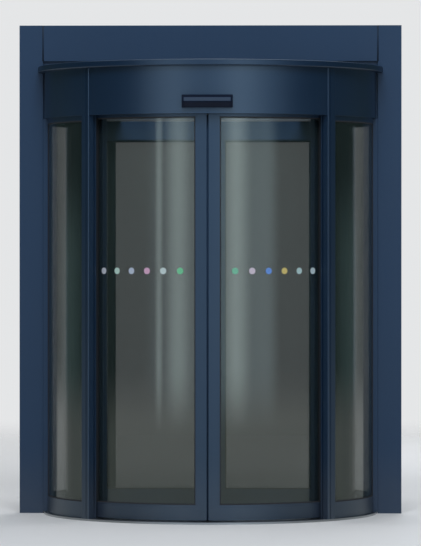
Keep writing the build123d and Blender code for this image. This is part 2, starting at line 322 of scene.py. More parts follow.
@dataclass(frozen=True)
class PowderCoat:
    """Satin powder coating with fine orange peel and a little dust near the floor.

    Here and in the other finishes rough holds the plain roughness and what each noise adds to it.
    """

    name: str
    colour: Triple
    dust: Triple = (0.10, 0.10, 0.098)
    dust_top: float = 0.45
    dust_share: Pair = (0.06, 0.22)
    streak_share: float = 0.03
    rough: Triple = (0.33, 0.10, 0.18)
    gloss: float = 0.30
    sheen: Triple = (0.88, 0.96, 1.0)
    peel_scale: float = 700.0
    peel_height: float = 0.00006

    def build(self) -> Material:
        """Make the material.

        Returns:
            The material.
        """
        paint = Paint(self.name)
        cloud = paint.noise(1.7, detail=3.0)
        streak = paint.noise(26.0, detail=2.0, stretch=(1.0, 1.0, 0.05))
        low = 1.0 - paint.z.band(0.0, self.dust_top)
        dirty = low * weigh(self.dust_share, paint.noise(9.0, detail=4.0))
        dirty = dirty + streak * self.streak_share
        tone = paint.shade(cloud, self.colour, factor=1.22)
        peel = paint.noise(self.peel_scale, detail=1.0)
        return paint.surface(
            Base_Color=paint.mix(dirty, tone, self.dust),
            Roughness=weigh(self.rough, cloud, dirty),
            Specular_IOR_Level=self.gloss,
            Specular_Tint=self.sheen,
            Normal=paint.bump(peel, self.peel_height),
        )


@dataclass(frozen=True)
class SafetyGlass:
    """Clear bent safety glass with a painted reflection where it curves away: lighter and less
    see-through there.
    """

    name: str
    body: float
    index: float
    tint: Triple = (0.019, 0.029, 0.027)
    rim: float = 0.40
    rim_power: float = 3.0
    sheen: Triple = (0.94, 1.0, 0.84)
    rough: Pair = (0.008, 0.03)
    smear_share: float = 0.03

    def build(self) -> Material:
        """Make the material.

        Returns:
            The material.
        """
        paint = Paint(self.name)
        facing = paint.node("ShaderNodeLayerWeight", {"Blend": 0.5}).outputs["Facing"]
        # Painted reflection: towards grazing angles the tint doubles and the glass lets less
        # through.
        turned = Wire(paint, facing) ** self.rim_power
        smear = paint.noise(3.2, detail=3.0, stretch=(1.0, 1.0, 0.35))
        ripple = paint.noise(1.1, detail=0.0, stretch=(1.0, 1.0, 0.2))
        return paint.surface(
            Base_Color=paint.shade(turned, self.tint, factor=2.0),
            Roughness=weigh(self.rough, smear),
            IOR=self.index,
            Specular_Tint=self.sheen,
            Alpha=weigh((self.body, self.rim, self.smear_share), turned, smear),
            Normal=paint.bump(ripple, distance=0.004),
        )


@dataclass(frozen=True)
class BrushedSteel:
    """Stainless steel brushed round the drum."""

    name: str
    colour: Triple = (0.36, 0.37, 0.38)
    rough: Triple = (0.26, 0.16, 0.08)
    ring_scale: float = 900.0
    ring_length: float = 6.0

    def build(self) -> Material:
        """Make the material.

        Returns:
            The material.
        """
        paint = Paint(self.name)
        place = paint.vector(paint.radius() * self.ring_scale, paint.bearing() * self.ring_length,
                             paint.z * self.ring_scale)
        rings = paint.wire("ShaderNodeTexNoise", {"Vector": place, "Scale": 1.0})
        stain = paint.noise(5.0, detail=3.0)
        return paint.surface(
            Base_Color=paint.shade(stain, self.colour, factor=0.72),
            Metallic=1.0,
            Roughness=weigh(self.rough, rings, stain),
            Normal=paint.bump(rings, distance=0.00008),
        )


@dataclass(frozen=True)
class SheetMetal:
    """Mill-finish sheet with spangle and dust."""

    name: str
    colour: Triple
    metallic: float
    rough: Triple = (0.36, 0.12, 0.18)
    dust: Triple = (0.26, 0.26, 0.25)
    dust_share: float = 0.5

    def build(self) -> Material:
        """Make the material.

        Returns:
            The material.
        """
        paint = Paint(self.name)
        spangle = paint.wire("ShaderNodeTexVoronoi", {"Vector": paint.coords, "Scale": 60.0})
        dust = paint.noise(2.5, detail=4.0)
        return paint.surface(
            Base_Color=paint.mix(dust * self.dust_share, self.colour, self.dust),
            Metallic=self.metallic,
            Roughness=weigh(self.rough, spangle, dust),
            Normal=paint.bump(paint.noise(4.0, detail=1.0), distance=0.002),
        )


@dataclass(frozen=True)
class RibbedMat:
    """Entrance matting: charcoal carpet ribs between aluminium edges."""

    name: str = "ribbed_mat"
    pitch: float = 0.027
    groove: Pair = (0.07, 0.13)
    carpet: Triple = (0.030, 0.032, 0.036)
    metal: Triple = (0.33, 0.34, 0.35)
    metallic: float = 0.8
    rough: Pair = (0.92, -0.5)

    def build(self) -> Material:
        """Make the material.

        Returns:
            The material.
        """
        paint = Paint(self.name)
        row = paint.math("PINGPONG", paint.y, self.pitch / 2)
        groove = 1.0 - row.band(*scaled(self.groove, self.pitch))
        fibre = paint.noise(520.0, detail=3.0)
        tread = paint.noise(3.5, detail=3.0)
        pile = paint.shade(fibre * 0.6 + tread * 0.3, self.carpet, factor=2.4)
        return paint.surface(
            Base_Color=paint.mix(groove, pile, self.metal),
            Roughness=weigh(self.rough, groove),
            Metallic=groove * self.metallic,
            Normal=paint.bump(fibre * (1.0 - groove), distance=0.0016),
        )


@dataclass(frozen=True)
class SoftSeal:
    """Black rubber or brush pile with fine upright fibres."""

    name: str
    colour: Triple = (0.012, 0.012, 0.014)
    rough: Pair = (0.72, 0.15)
    fibre_scale: float = 260.0
    fibre_height: float = 0.0001

    def build(self) -> Material:
        """Make the material.

        Returns:
            The material.
        """
        paint = Paint(self.name)
        fibre = paint.noise(self.fibre_scale, detail=2.0, stretch=(1.0, 1.0, 0.15))
        return paint.surface(
            Base_Color=paint.shade(fibre, self.colour, factor=2.2),
            Roughness=weigh(self.rough, fibre),
            Normal=paint.bump(fibre, self.fibre_height),
        )


@dataclass(frozen=True)
class SensorShell:
    """Black moulded housing whose upright face carries a smooth band, painted lighter as a
    highlight.
    """

    name: str = "sensor_shell"
    rough: Triple = (0.50, 0.08, -0.25)
    highlight_colour: Triple = (0.038, 0.056, 0.088)
    band_low: float = 2.4905
    band_high: float = 2.5120
    band_half: float = 0.137
    band_edge: float = 0.001
    face: Pair = (1.0648, 1.0656)

    def build(self) -> Material:
        """Make the material.

        Returns:
            The material.
        """
        paint = Paint(self.name)
        grain = paint.noise(1500.0, detail=1.0)
        tone = paint.noise(30.0, detail=2.0)
        ends = (paint.z, self.band_low), (paint.z, self.band_high), (abs(paint.x), self.band_half)
        low, high, side = (place.band(end, end + self.band_edge) for place, end in ends)
        # Painted highlight: a lighter, bluish band along the upright face of the black body.
        band = low * (1.0 - high) * (1.0 - side) * abs(paint.y).band(*self.face)
        shade = paint.shade(tone, SENSOR_BLACK, factor=1.5)
        return paint.surface(
            Base_Color=paint.mix(band, shade, self.highlight_colour),
            Roughness=weigh(self.rough, tone, band),
            Specular_IOR_Level=SENSOR_GLOSS,
            Normal=paint.bump(grain * (1.0 - band), distance=0.00008),
        )


@dataclass(frozen=True)
class SensorWindow:
    """Smoked glossy window in front of a motion sensor."""

    name: str = "sensor_window"
    rough: Pair = (0.10, 0.05)

    def build(self) -> Material:
        """Make the material.

        Returns:
            The material.
        """
        paint = Paint(self.name)
        cloud = paint.noise(14.0, detail=2.0)
        return paint.surface(
            Base_Color=paint.shade(cloud, SENSOR_BLACK, factor=2.0),
            Roughness=weigh(self.rough, cloud),
            Specular_IOR_Level=SENSOR_GLOSS,
            Normal=paint.bump(paint.noise(20.0, detail=0.0), distance=0.0001),
        )


@dataclass(frozen=True)
class DotFilm:
    """Frosted film of the marker dots: one plain colour for each place round the drum."""

    name: str = "dot_film"
    colours: tuple[Triple, ...] = (
        (0.46, 0.48, 0.54), (0.40, 0.56, 0.50), (0.40, 0.46, 0.56), (0.56, 0.34, 0.48),
        (0.46, 0.56, 0.56), (0.14, 0.48, 0.26), (0.40, 0.46, 0.46), (0.40, 0.46, 0.46),
        (0.16, 0.44, 0.30), (0.54, 0.48, 0.56), (0.12, 0.26, 0.62), (0.56, 0.46, 0.16),
        (0.38, 0.54, 0.54), (0.44, 0.54, 0.58),
    )
    shift: float = 0.02
    rough: Pair = (0.55, 0.2)

    def build(self) -> Material:
        """Make the material.

        Returns:
            The material.
        """
        paint = Paint(self.name)
        count = len(self.colours)
        place = paint.bearing() / math.radians(DOT_STEP) / count + 0.5
        ramp = paint.node("ShaderNodeValToRGB", {"Fac": place})
        stops = ramp.color_ramp.elements
        while len(stops) < count:
            stops.new(0.5)
        for number, colour in enumerate(self.colours):
            stops[number].position = (number + self.shift) / count
            stops[number].color = (*colour, 1.0)
        ramp.color_ramp.interpolation = "CONSTANT"
        frost = paint.noise(900.0, detail=2.0)
        return paint.surface(
            Base_Color=ramp,
            Roughness=weigh(self.rough, frost),
            Normal=paint.bump(frost, distance=0.00003),
        )


class Finish(Enum):
    """Every finish on the door."""

    COAT = PowderCoat("coat_dark", (0.0135, 0.0320, 0.0680))
    DRUM_COAT = PowderCoat("coat_drum", DRUM_BLUE, gloss=0.86, sheen=DRUM_SHEEN)
    CORNICE_COAT = PowderCoat("coat_cornice", DRUM_BLUE, gloss=0.68, sheen=DRUM_SHEEN)
    CEILING = PowderCoat("coat_ceiling", (0.42, 0.44, 0.46), rough=(0.5, 0.10, 0.18))
    LEAF_GLASS = SafetyGlass("leaf_safety_glass", body=0.28, index=2.15)
    WALL_GLASS = SafetyGlass("wall_safety_glass", body=0.38, index=1.9)
    WING_GLASS = SafetyGlass("wing_safety_glass", body=0.66, index=1.55)
    STEEL = BrushedSteel("brushed_steel")
    SHEET = SheetMetal("mill_sheet", (0.27, 0.28, 0.29), metallic=0.45, rough=(0.58, 0.12, 0.18))
    MAT = RibbedMat()
    BRUSH = SoftSeal("brush_pile", fibre_scale=700.0, fibre_height=0.0004)
    RUBBER = SoftSeal("black_rubber")
    SEAM = SoftSeal("seam_rubber", (0.012, 0.026, 0.052))
    # Sealant that is also painted shade: its dark colour stands in for the shade in the recessed
    # joints.
    JOINT_AND_SHADE = SoftSeal("joint_sealant", (0.0030, 0.0090, 0.0200))
    SENSOR = SensorShell()
    WINDOW = SensorWindow()
    DOTS = DotFilm()
    FIXING = SheetMetal("bright_screws", (0.46, 0.47, 0.48), metallic=1.0)
    CARRIER = SheetMetal("brush_carrier", (0.30, 0.31, 0.32), metallic=0.9)

    @cache
    def material(self) -> Material:
        """Return the finish's material, made once."""
        return self.value.build()


def scaled(values: tuple[float, ...], factor: float) -> tuple[float, ...]:
    """Multiply every number of a colour or a pair."""
    return tuple(value * factor for value in values)


def weigh(shares: tuple[float, ...], *wires: Wire) -> Wire:
    """Add each wire times its share to a base value, the first of the shares."""
    return sum((share * wire for share, wire in zip(shares[1:], wires)), shares[0])


def polar(radius: float, bearing: float, height: float) -> Vector:
    """Point at a bearing in degrees on a circle round the drum's axis."""
    angle = math.radians(bearing)
    return Vector((radius * math.sin(angle), -radius * math.cos(angle), height))


def add_object(name: str, data: ID) -> Object:
    """Put a new object into the scene.

    Args:
        name: The object's name.
        data: Its mesh, lamp or camera.

    Returns:
        The new object.
    """
    made = bpy.data.objects.new(name, data)
    bpy.context.scene.collection.objects.link(made)
    return made


def point_at(thing: Object, place: Vector, aim: Vector) -> None:
    """Put a lamp or camera at a place and turn it towards its aim."""
    thing.location = place
    thing.rotation_euler = (aim - place).to_track_quat("-Z", "Y").to_euler()


def mesh_object(name: str, verts: list, faces: list, material: Material) -> Object:
    """Make an object at the origin.

    Args:
        name: The object's name.
        verts: Its points.
        faces: Its faces as point numbers.
        material: Its material.

    Returns:
        The new object.
    """
    mesh = bpy.data.meshes.new(name)
    mesh.from_pydata([tuple(v) for v in verts], [], faces)
    mesh.materials.append(material)
    return add_object(name, mesh)


def mesh_piece(name: str, shape: Shape, finish: Finish, smooth: bool = True) -> Object:
    """Make a piece of the door whose faces all look outwards.

    Args:
        name: The object's name.
        shape: Its points and faces.
        finish: Its finish.
        smooth: True for smooth shading.

    Returns:
        The new object.
    """
    piece = mesh_object(name, *shape, finish.material())
    work = bmesh.new()
    work.from_mesh(piece.data)
    bmesh.ops.recalc_face_normals(work, faces=work.faces)
    work.to_mesh(piece.data)
    work.free()
    for polygon in piece.data.polygons:
        polygon.use_smooth = smooth
    return piece


def place_piece(piece: Object, body: str) -> None:
    """Let a piece ride on a body and report it.

    Args:
        piece: The piece.
        body: The body that carries it.
    """
    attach(piece, body)
    LOG.info("%s: %d faces on %s", piece.name, len(piece.data.polygons), body)


def join_shapes(parts: list[Shape]) -> Shape:
    """Join several shapes into one.

    Args:
        parts: The shapes.

    Returns:
        Points and faces.
    """
    verts, faces = [], []
    for some_verts, some_faces in parts:
        start = len(verts)
        verts += some_verts
        faces += [tuple(number + start for number in face) for face in some_faces]
    return verts, faces


def closed_tube(rings: list[list[Vector]], loop: bool = True) -> Shape:
    """Skin between rings of points.

    Args:
        rings: Equal rows of points, one for each edge of the profile.
        loop: True where each row closes on itself, else its ends get caps.

    Returns:
        Points and faces.
    """
    count, rows = len(rings[0]), len(rings)
    verts = [point for ring in rings for point in ring]
    faces = []
    for row in range(rows):
        for spot in range(count if loop else count - 1):
            after = (spot + 1) % count
            below = (row + 1) % rows * count
            faces.append((row * count + spot, row * count + after, below + after, below + spot))
    if not loop:
        faces += [tuple(row * count + end for row in range(rows)) for end in (0, count - 1)]
    return verts, faces


def upright_bead(middle: Pair, width: Pair, crown: Pair, heights: Pair, steps: int) -> Shape:
    """Upright bead with a half-round section.

    Args:
        middle: The x and y of the middle of its flat side.
        width: From there to one edge.
        crown: From there to its crown.
        heights: The bead's foot and its top.
        steps: Edges round the section.

    Returns:
        Points and faces.
    """
    lines = []
    for step in range(steps + 1):
        turn = math.pi * (step / steps - 0.5)
        flat = [start + side * math.sin(turn) + rise * math.cos(turn)
                for start, side, rise in zip(middle, width, crown)]
        lines.append([Vector((*flat, z)) for z in heights])
    return closed_tube(lines, loop=False)


def wing_plane(bearing: float) -> Spot:
    """Map a reach, a height and an offset on an upright plane at a bearing to a point."""
    out, across = polar(1.0, bearing, 0.0), polar(1.0, bearing + 90, 0.0)
    return lambda u, v, h: out * u + across * h + Vector((0, 0, v))


@dataclass
class DrumSizes:
    """Driving sizes of the door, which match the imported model."""

    fascia: float = 1.018
    roof_top: float = 2.738
    side_glass: float = 0.989
    leaf: float = 0.930
    wall: float = 0.884
    floor: float = 0.012
    glass: float = 0.010
    opening: float = 46.0
    rail_low: float = 0.110
    rail_high: float = 2.390


@dataclass
class Pane:
    """A framed pane, curved or flat, whose edges carry a rubber seal on both sides.

    The pane's surface is described by spot, which turns a place along the pane, a height and an
    offset towards one side into a point.
    """

    spot: Spot
    along: Pair
    heights: Pair
    thickness: float = DrumSizes.glass
    steps: int = 28
    width: float = 0.007
    proud: float = 0.005
    inner_share: float = 0.45

    @classmethod
    def curved(cls, radius: float, start: float, end: float, heights: Pair) -> "Pane":
        """Pane that follows the drum between two bearings, at a radius to the glass's middle."""
        along = (math.radians(start) * radius, math.radians(end) * radius)
        return cls(lambda u, v, h: polar(radius + h, math.degrees(u / radius), v), along, heights)

    @classmethod
    def flat(cls, bearing: float, along: Pair, heights: Pair, thickness: float) -> "Pane":
        """Flat pane that points away from the axis along a bearing, with lower seals."""
        return cls(wing_plane(bearing), along, heights, thickness, steps=1, proud=0.0038)

    def _loop(self, inset: float) -> list[Pair]:
        """The opening's outline, moved inwards.

        Args:
            inset: How far it is moved.

        Returns:
            Points along and up the pane.
        """
        u0, u1 = self.along[0] + inset, self.along[1] - inset
        v0, v1 = self.heights[0] + inset, self.heights[1] - inset
        run = [u0 + (u1 - u0) * k / self.steps for k in range(self.steps + 1)]
        return [(u, v0) for u in run] + [(u, v1) for u in reversed(run)]

    def seals(self) -> Shape:
        """Rubber beads round the opening on both sides of the pane.

        Returns:
            Points and faces.
        """
        outer, inner = self._loop(0.0), self._loop(self.width)
        parts = []
        for side in (-1, 1):
            low = side * self.thickness / 2
            high = low + side * self.proud
            lip = low + side * self.proud * self.inner_share
            rows = ((outer, low), (outer, high), (inner, lip), (inner, low))
            parts.append(closed_tube([[self.spot(u, v, h) for u, v in loop] for loop, h in rows]))
        return join_shapes(parts)


@dataclass
class GlassSeals:
    """Seals of every pane, one piece for each body."""

    sizes: DrumSizes
    leaf_start: float = 4.37
    leaf_end: float = 45.54
    leaf_high: float = 2.404
    post_half: float = 1.88
    column_half: float = 3.77
    wall_post_half: float = 1.43
    wing_along: Pair = (0.090, 0.797)
    wing_heights: Pair = (0.146, 2.286)
    wing_glass: float = 0.008

    def build(self) -> None:
        """Make the seals of the drum, the leaves and the rotor."""
        self._piece("drum_glass_seals", self._drum_panes(), "drum")
        for name, sign in SIDES:
            ends = sorted((sign * self.leaf_start, sign * self.leaf_end))
            pane = Pane.curved(self.sizes.leaf, *ends, (self.sizes.rail_low, self.leaf_high))
            self._piece(f"leaf_glass_seals_{name}", [pane], f"leaf_{name}")
        wings = [Pane.flat(bearing, self.wing_along, self.wing_heights, self.wing_glass)
                 for bearing in WING_BEARINGS]
        self._piece("wing_glass_seals", wings, "rotor")

    def _drum_panes(self) -> list[Pane]:
        """Outer side panes and inner curved walls.

        Returns:
            The panes.
        """
        size = self.sizes
        heights = (size.rail_low, size.rail_high)
        near, far = size.opening + self.post_half, 90 - self.column_half
        spans = ((near, far), (180 - far, 180 - near), (-far, -near), (180 + near, 180 + far))
        panes = [Pane.curved(size.side_glass, *span, heights) for span in spans]
        reach = 90 - size.opening - self.wall_post_half
        return panes + [Pane.curved(size.wall, middle - reach, middle + reach, heights)
                        for middle in (-90, 90)]

    def _piece(self, name: str, panes: list[Pane], body: str) -> None:
        """One mesh of seals on one body."""
        shape = join_shapes([pane.seals() for pane in panes])
        place_piece(mesh_piece(name, shape, Finish.RUBBER, smooth=False), body)


@dataclass
class MeetingFins:
    """Soft round fins that close the seam between the two leaves."""

    sizes: DrumSizes
    base: float = 0.0030
    tip: float = 0.0002
    half_depth: float = 0.0065
    heights: Pair = (0.024, 2.416)
    steps: int = 8

    def build(self) -> None:
        """Make one fin for each leaf."""
        for name, sign in SIDES:
            shape = upright_bead((sign * self.base, -self.sizes.leaf), (0.0, self.half_depth),
                                 (sign * (self.tip - self.base), 0.0), self.heights, self.steps)
            piece = mesh_piece(f"meeting_fin_{name}", shape, Finish.SEAM)
            place_piece(piece, f"leaf_{name}")


@dataclass
class HeadJoints:
    """Dark sealant in the upright joints between the portal's head and its jambs, also painted
    shade for the joints' recess.
    """

    place: float = 1.0275
    face: float = 0.055
    half_width: float = 0.0055
    crown: float = 0.0007
    heights: Pair = (2.7757, 2.9940)
    steps: int = 6

    def build(self) -> None:
        """Make one bead on each side, front and back."""
        beads = [upright_bead((across * self.place, side * self.face), (self.half_width, 0.0),
                              (0.0, side * self.crown), self.heights, self.steps)
                 for across in (-1, 1) for side in (-1, 1)]
        # The beads' dark colour is painted shade as well as sealant.
        piece = mesh_piece("head_joint_beads", join_shapes(beads), Finish.JOINT_AND_SHADE)
        place_piece(piece, "drum")


@dataclass
class MarkerDots:
    """Row of frosted dots on the outer face of each leaf's glass."""

    sizes: DrumSizes
    height: float = 1.492
    first: float = 10.0
    count: int = 6
    dot_radius: float = 0.0195
    film: float = 0.0004

    def build(self) -> None:
        """Make one row for each leaf."""
        sweep = DOT_STEP * (self.count - 1)
        for name, start in (("left", -self.first - sweep), ("right", self.first)):
            jig = Jig(f"marker_dots_{name}", {
                "Count": self.count, "Height": self.height, "Dot Radius": self.dot_radius,
                "Arc Radius": self.sizes.leaf + self.sizes.glass / 2 + self.film})
            points = jig.arc(start, sweep)
            disc = jig.node("GeometryNodeMeshCylinder", {
                "Vertices": 32, "Radius": jig.size("Dot Radius"), "Depth": self.film})
            row = jig.copies(points, disc, Rotation=jig.outward())
            piece = jig.make(f"marker_dots_{name}", row, Finish.DOTS)
            place_piece(piece, f"leaf_{name}")


@dataclass
class Fixings:
    """Countersunk screws in the floor ring and rivets round the roof.

    The screw's top, rise and depth and the rivet's rise are shares of the head's radius.
    """

    sizes: DrumSizes
    screw_arc: float = 0.940
    screw_margin: float = 4.0
    screw_count: int = 8
    screw_head: float = 0.0055
    screw_top: float = 0.8
    screw_rise: float = 0.16
    screw_depth: float = 0.3
    rivet_inset: float = 0.022
    rivet_count: int = 60
    rivet_head: float = 0.006
    rivet_rise: float = 0.45

    def build(self) -> None:
        """Make the screws and the rivets."""
        jig = Jig("floor_screws", {"Count": self.screw_count, "Arc Radius": self.screw_arc,
                                   "Height": self.sizes.floor, "Head": self.screw_head})
        reach = self.sizes.opening - self.screw_margin
        rows = [jig.arc(middle - reach, 2 * reach) for middle in (0, 180)]
        placed = jig.copies(jig.join(rows), self._screw(jig))
        place_piece(jig.make("floor_screws", placed, Finish.FIXING), "drum")
        jig = Jig("roof_rivets", {"Count": self.rivet_count, "Head": self.rivet_head,
                                  "Arc Radius": self.sizes.fascia - self.rivet_inset,
                                  "Height": self.sizes.roof_top})
        ring = jig.arc(0, 360 * (1 - 1 / self.rivet_count))
        dome = jig.node("GeometryNodeMeshUVSphere", {
            "Segments": 8, "Rings": 4, "Radius": jig.size("Head")})
        placed = jig.copies(ring, dome, Scale=(1.0, 1.0, self.rivet_rise))
        place_piece(jig.make("roof_rivets", placed, Finish.FIXING), "drum")

    def _screw(self, jig: Jig) -> Node:
        """Screw head with a recess.

        Args:
            jig: The node group that holds the head's size.

        Returns:
            The head's mesh.
        """
        head = jig.size("Head")
        cone = jig.node("GeometryNodeMeshCone", {
            "Vertices": 12, "Radius Top": head * self.screw_top, "Radius Bottom": head,
            "Depth": head * self.screw_rise})
        inset = jig.node("GeometryNodeExtrudeMesh", {
            "Mesh": cone, "Selection": cone.outputs["Top"], "Offset Scale": 0.0})
        small = jig.node("GeometryNodeScaleElements", {
            "Geometry": inset, "Selection": inset.outputs["Top"], "Scale": 0.5})
        return jig.node("GeometryNodeExtrudeMesh", {
            "Mesh": small, "Selection": inset.outputs["Top"],
            "Offset Scale": head * -self.screw_depth})


@dataclass
class BrushSeals:
    """Brush seals along the free edges of the four wings: a metal carrier and its bristles."""

    inner: float = 0.090
    edge: float = 0.842
    low: float = 0.026
    high: float = 2.406
    carrier_edge: float = 0.849
    carrier_low: float = 0.023
    carrier_high: float = 2.409
    edge_tuft: float = 0.013
    end_tuft: float = 0.005
    thickness: float = 0.008
    pitch: float = 0.0055
    row_offset: float = 0.002
    tuft_radius: float = 0.0017
    lean: float = 0.07
    seed: int = 7

    def build(self) -> None:
        """Make the carriers and the bristles of all wings."""
        path, wide = ([(self.inner, low), (edge, low), (edge, high), (self.inner, high)]
                      for edge, low, high in (
                          (self.edge, self.low, self.high),
                          (self.carrier_edge, self.carrier_low, self.carrier_high)))
        half = self.thickness / 2
        rows = ((path, -half), (wide, -half), (wide, half), (path, half))
        parts = [closed_tube([[spot(u, v, h) for u, v in line] for line, h in rows], loop=False)
                 for spot in map(wing_plane, WING_BEARINGS)]
        carrier = mesh_piece("brush_carriers", join_shapes(parts), Finish.CARRIER, smooth=False)
        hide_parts("wing_brushes")
        place_piece(carrier, "rotor")
        bristles = self._bristles()
        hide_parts("wing_brushes")
        place_piece(bristles, "rotor")

    def _bristles(self) -> Object:
        """Tufts in two rows along the three edges of each wing.

        Returns:
            The tufts of all wings.
        """
        tall, reach = self.high - self.low, self.edge - self.inner
        tall_count, reach_count = int(tall / self.pitch), int(reach / self.pitch)
        jig = Jig("brush_bristles", {
            "Tall Count": tall_count, "Reach Count": reach_count, "Tall Tuft": self.edge_tuft,
            "Reach Tuft": self.end_tuft, "Tuft Radius": self.tuft_radius,
            "Edge": self.carrier_edge, "Low": self.carrier_low, "High": self.carrier_high,
            "Row Offset": self.row_offset})
        up, out = (0.0, 0.0, tall / tall_count), (reach / reach_count, 0.0, 0.0)
        rows = []
        for side in (-1, 1):
            offset = jig.size("Row Offset") * side
            for kind, x, z, step, turn in (
                    ("Tall", jig.size("Edge"), self.low, up, (0.0, math.pi / 2, 0.0)),
                    ("Reach", self.inner, jig.size("High"), out, (0.0, 0.0, 0.0)),
                    ("Reach", self.inner, jig.size("Low"), out, (math.pi, 0.0, 0.0))):
                rows.append(self._row(jig, kind, jig.vector(x, offset, z), step, turn))
        points = jig.node("GeometryNodePoints", {"Count": len(WING_BEARINGS)})
        index = jig.wire("GeometryNodeInputIndex")
        turned = jig.node("FunctionNodeEulerToRotation", {0: jig.vector(z=index * (math.pi / 2))})
        wings = jig.copies(points, jig.join(rows), Rotation=turned)
        return jig.make("brush_bristles", wings, Finish.BRUSH)

    def _row(self, jig: Jig, kind: str, start: Node, step: Triple, turn: Triple) -> Node:
        """One straight row of tufts that lean a little at random.

        Args:
            jig: The tree.
            kind: First word of the names of the tufts' length and number.
            start: Place of the first one.
            step: From one to the next.
            turn: Angles that point the tufts away from the wing.

        Returns:
            The node that places them.
        """
        tuft = jig.node("GeometryNodeMeshCone", {
            "Vertices": 4, "Radius Top": 0.0009, "Radius Bottom": jig.size("Tuft Radius"),
            "Depth": jig.size(kind + " Tuft")})
        line = jig.node("GeometryNodeMeshLine", {
            "Count": jig.size(kind + " Count"), "Start Location": start, "Offset": step})
        lean = jig.node("FunctionNodeRandomValue", {
            0: (-self.lean,) * 3, 1: (self.lean,) * 3, "Seed": self.seed}, data_type="FLOAT_VECTOR")
        angle = jig.node("ShaderNodeVectorMath", {0: lean, 1: turn}, operation="ADD")
        turned = jig.node("FunctionNodeEulerToRotation", {0: angle})
        return jig.copies(line, tuft, Rotation=turned)


@dataclass
class SensorWindows:
    """Smoked windows on the sloping faces of the two motion sensors."""

    upper: Pair = (1.0660, 2.4873)
    lower: Pair = (1.0444, 2.4540)
    margin: float = 0.003
    half_width: float = 0.138
    corner: float = 0.008
    corner_steps: int = 5
    proud: float = 0.0008

    def build(self) -> None:
        """Make both windows."""
        parts = [self._plate(bearing) for bearing in (0, 180)]
        piece = mesh_piece("sensor_windows", join_shapes(parts), Finish.WINDOW, smooth=False)
        place_piece(piece, "drum")

    def _plate(self, bearing: float) -> Shape:
        """Thin plate with round corners and a bevelled edge, laid on the slope.

        Args:
            bearing: Bearing of the plate in degrees.

        Returns:
            Points and faces.
        """
        spot, across = wing_plane(bearing), polar(1.0, bearing + 90, 0.0)
        start = spot(*self.upper, 0.0)
        down = spot(*self.lower, 0.0) - start
        tall = down.length
        down.normalize()
        normal = down.cross(across)
        rings = []
        for inset, lift in ((0.0, 0.0), (0.0, self.proud / 2), (self.proud, self.proud)):
            margin = self.margin + inset
            edge = self._outline(margin, tall - margin, self.half_width - inset)
            rings.append([start + across * u + down * v + normal * lift for u, v in edge])
        verts, faces = closed_tube(rings)
        count = len(rings[0])
        caps = [tuple(range(count)), tuple(range(2 * count, 3 * count))]
        return verts, faces[:2 * count] + caps

    def _outline(self, low: float, high: float, half: float) -> list[Pair]:
        """Rectangle with round corners.

        Args:
            low: Lower edge.
            high: Upper edge.
            half: Half the width.

        Returns:
            Its points in order.
        """
        r = self.corner
        centres = ((half - r, high - r), (r - half, high - r), (r - half, low + r),
                   (half - r, low + r))
        points = []
        for corner, (x, y) in enumerate(centres):
            for step in range(self.corner_steps + 1):
                turn = math.radians(90 * corner + 90 / self.corner_steps * step)
                points.append((x + r * math.cos(turn), y + r * math.sin(turn)))
        return points


PLAN: dict[Finish, tuple[str, ...]] = {
    Finish.CEILING: ("ceiling",),
    Finish.MAT: ("entrance_mat",),
    Finish.BRUSH: ("wing_brushes",),
    Finish.SENSOR: ("motion_sensors",),
    Finish.STEEL: ("floor_pan", "floor_bearing", "leaf_track", "carriages"),
    Finish.SHEET: ("roof_cover", "canopy_beams", "drive_unit"),
    Finish.LEAF_GLASS: ("leaf_glass",),
    Finish.WING_GLASS: ("wing_glass",),
    Finish.WALL_GLASS: ("glass",),
    Finish.SEAM: ("gasket",),
    Finish.DRUM_COAT: ("leaf_frame", "fascia", "post", "side_rails"),
    Finish.CORNICE_COAT: ("cornice",),
}


@dataclass
class Dresser:
    """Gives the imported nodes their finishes."""

    nodes: dict[str, Object]

    def finish_for(self, name: str) -> Finish:
        """Pick the first finish of the plan with a word that is in the node's name."""
        return next((finish for finish, words in PLAN.items()
                     if any(word in name for word in words)), Finish.COAT)

    def dress(self) -> None:
        """Give every node its material."""
        for name, node in self.nodes.items():
            finish = self.finish_for(name)
            for slot in node.material_slots:
                slot.material = finish.material()
            LOG.info("node %s: %s", name, finish.value.name)


@dataclass(frozen=True)
class Lamp:
    """One soft rectangular lamp."""

    name: str
    place: Triple
    aim: Triple
    size: Pair
    power: float
    colour: Triple = (1.0, 1.0, 1.0)
    glints: bool = False
    spread: float = 180.0

    def build(self) -> None:
        """Make the lamp; it lights and may glint, but isn't seen itself."""
        data = bpy.data.lights.new(self.name, "AREA")
        data.shape = "RECTANGLE"
        data.size, data.size_y = self.size
        data.energy = self.power
        data.color = self.colour
        data.spread = math.radians(self.spread)
        lamp = add_object(self.name, data)
        point_at(lamp, Vector(self.place), Vector(self.aim))
        lamp.visible_camera = lamp.visible_transmission = False
        lamp.visible_glossy = self.glints


